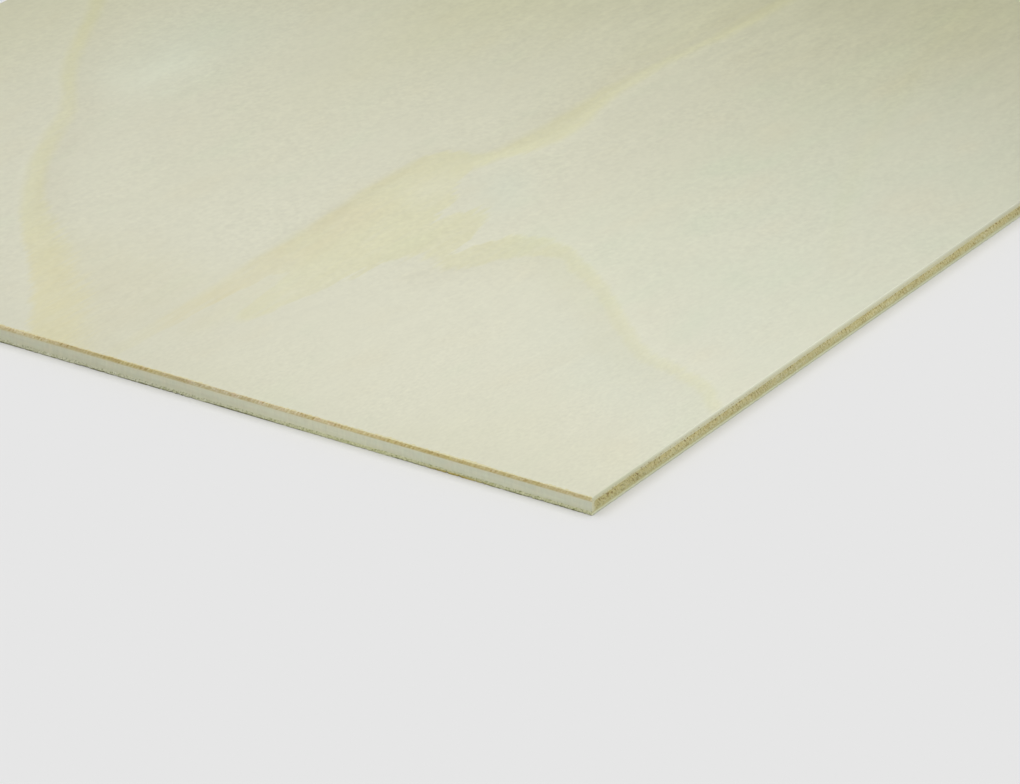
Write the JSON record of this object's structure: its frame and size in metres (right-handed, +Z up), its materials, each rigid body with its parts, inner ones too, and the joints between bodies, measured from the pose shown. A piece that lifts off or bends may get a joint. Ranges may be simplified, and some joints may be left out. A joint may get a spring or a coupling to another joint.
{
  "type": "plywood sheet",
  "caption": "Thin rectangular sheet of poplar plywood: pale sanded face, thick cross-grained core and thin back veneer showing at square sawn edges.",
  "frame": {"origin": "under the middle of the sheet, on the plane that it lies on", "axes": "+X along the sheet's length and the grain of the face and back plies, +Y across the sheet and along the core's grain, +Z up out of the face"},
  "size_m": [0.5, 0.25, 0.0038],
  "materials": {
    "face_ply": "matte",
    "core_ply": "matte",
    "back_ply": "matte"
  },
  "bodies": {
    "root": {"face_veneer": "face_ply", "core_veneer": "core_ply", "back_veneer": "back_ply"}
  },
  "joints": []
}
